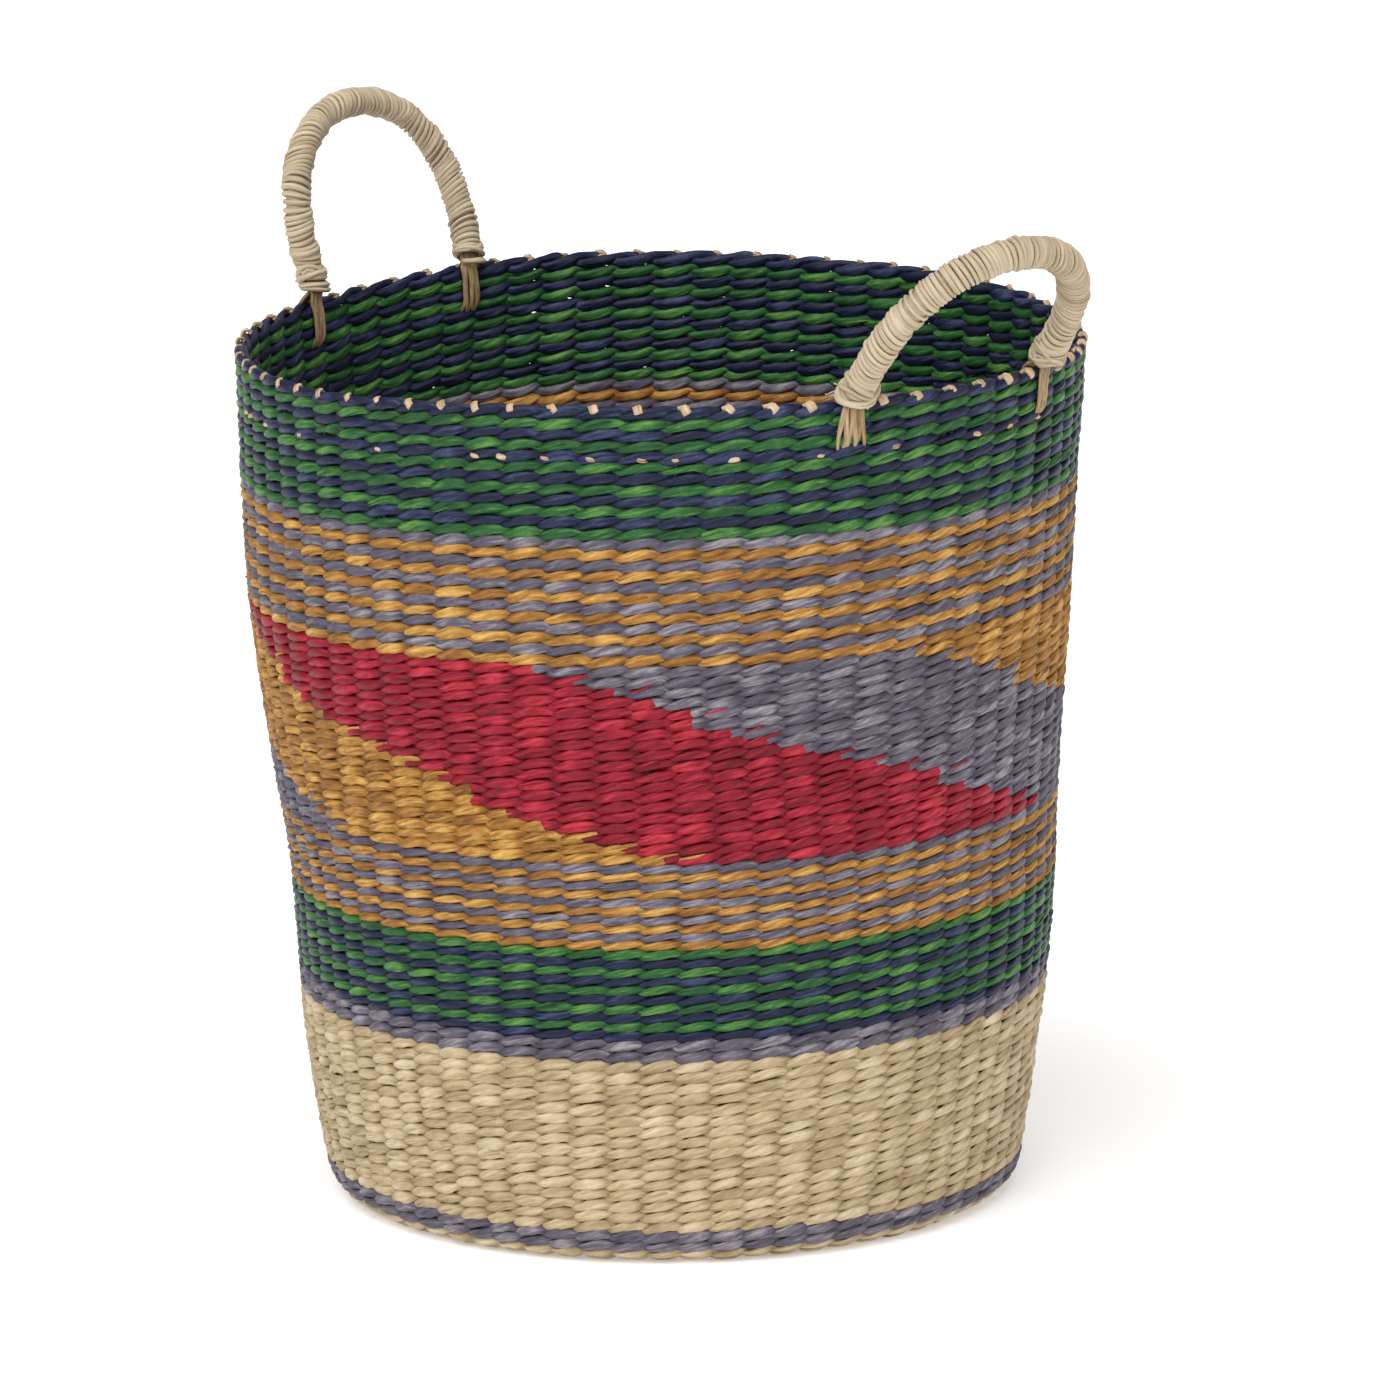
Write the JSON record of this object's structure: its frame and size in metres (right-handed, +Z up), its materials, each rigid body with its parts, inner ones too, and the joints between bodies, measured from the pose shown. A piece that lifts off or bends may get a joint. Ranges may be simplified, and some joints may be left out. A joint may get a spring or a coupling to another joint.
{
  "type": "storage basket",
  "caption": "Round flared storage basket of coloured twined seagrass on stakes, with a flat base and wrapped rope handles that flop about the rim.",
  "frame": {"origin": "centre of the flat underside of the base, on the ground", "axes": "+Z up through the open top; +X through the middle of the right handle, -X through the left one"},
  "size_m": [0.4405, 0.38, 0.4772],
  "materials": {
    "natural_seagrass": "matte dry plant fibre, tan",
    "grey_seagrass": "matte dyed plant fibre, grey lilac",
    "green_seagrass": "slightly glossy dyed plant fibre, green",
    "navy_seagrass": "slightly glossy dyed plant fibre, navy",
    "ochre_seagrass": "matte dyed plant fibre, ochre",
    "red_seagrass": "matte dyed plant fibre, crimson",
    "stake_reed": "dry split reed",
    "handle_twine": "matte pale paper-like twine"
  },
  "bodies": {
    "basket": {"stake_frame": "stake_reed", "base_weave_lower": "natural_seagrass", "base_weave_upper": "natural_seagrass", "heel_rounds": "grey_seagrass", "natural_outer": "natural_seagrass", "grey_outer": "grey_seagrass", "green_navy_lower_outer": "green_seagrass", "ochre_grey_lower_outer": "ochre_seagrass", "pattern_panel_1_ochre": "ochre_seagrass", "pattern_panel_2_red": "red_seagrass", "pattern_panel_3_grey": "grey_seagrass", "pattern_panel_4_ochre": "ochre_seagrass", "pattern_panel_5_red": "red_seagrass", "pattern_panel_6_grey": "grey_seagrass", "ochre_grey_upper_outer": "ochre_seagrass", "green_navy_upper_outer": "green_seagrass", "rim_border_outer": "navy_seagrass", "natural_inner": "natural_seagrass", "grey_inner": "grey_seagrass", "green_navy_lower_inner": "navy_seagrass", "ochre_grey_lower_inner": "grey_seagrass", "pattern_inner": "ochre_seagrass", "ochre_grey_upper_inner": "grey_seagrass", "green_navy_upper_inner": "navy_seagrass", "rim_border_inner": "navy_seagrass", "right_foot_first_tails_outer": "handle_twine", "right_foot_first_tails_inner": "handle_twine", "right_foot_second_tails_outer": "handle_twine", "right_foot_second_tails_inner": "handle_twine", "left_foot_first_tails_outer": "handle_twine", "left_foot_first_tails_inner": "handle_twine", "left_foot_second_tails_outer": "handle_twine", "left_foot_second_tails_inner": "handle_twine"},
    "right_handle": {"right_handle_core": "stake_reed", "right_handle_wrap": "handle_twine", "right_handle_collar_first": "handle_twine", "right_handle_collar_second": "handle_twine"},
    "left_handle": {"left_handle_core": "stake_reed", "left_handle_wrap": "handle_twine", "left_handle_collar_first": "handle_twine", "left_handle_collar_second": "handle_twine"}
  },
  "joints": [
    {"name": "right_handle_flop", "type": "hinge", "parent": "basket", "child": "right_handle", "pos_m": [0.17664, 0, 0.38652], "axis": [0, 1, 0], "range_deg": [-63, 24]},
    {"name": "left_handle_flop", "type": "hinge", "parent": "basket", "child": "left_handle", "pos_m": [-0.17963, 0, 0.38652], "axis": [0, -1, 0], "range_deg": [-48, 39]}
  ]
}
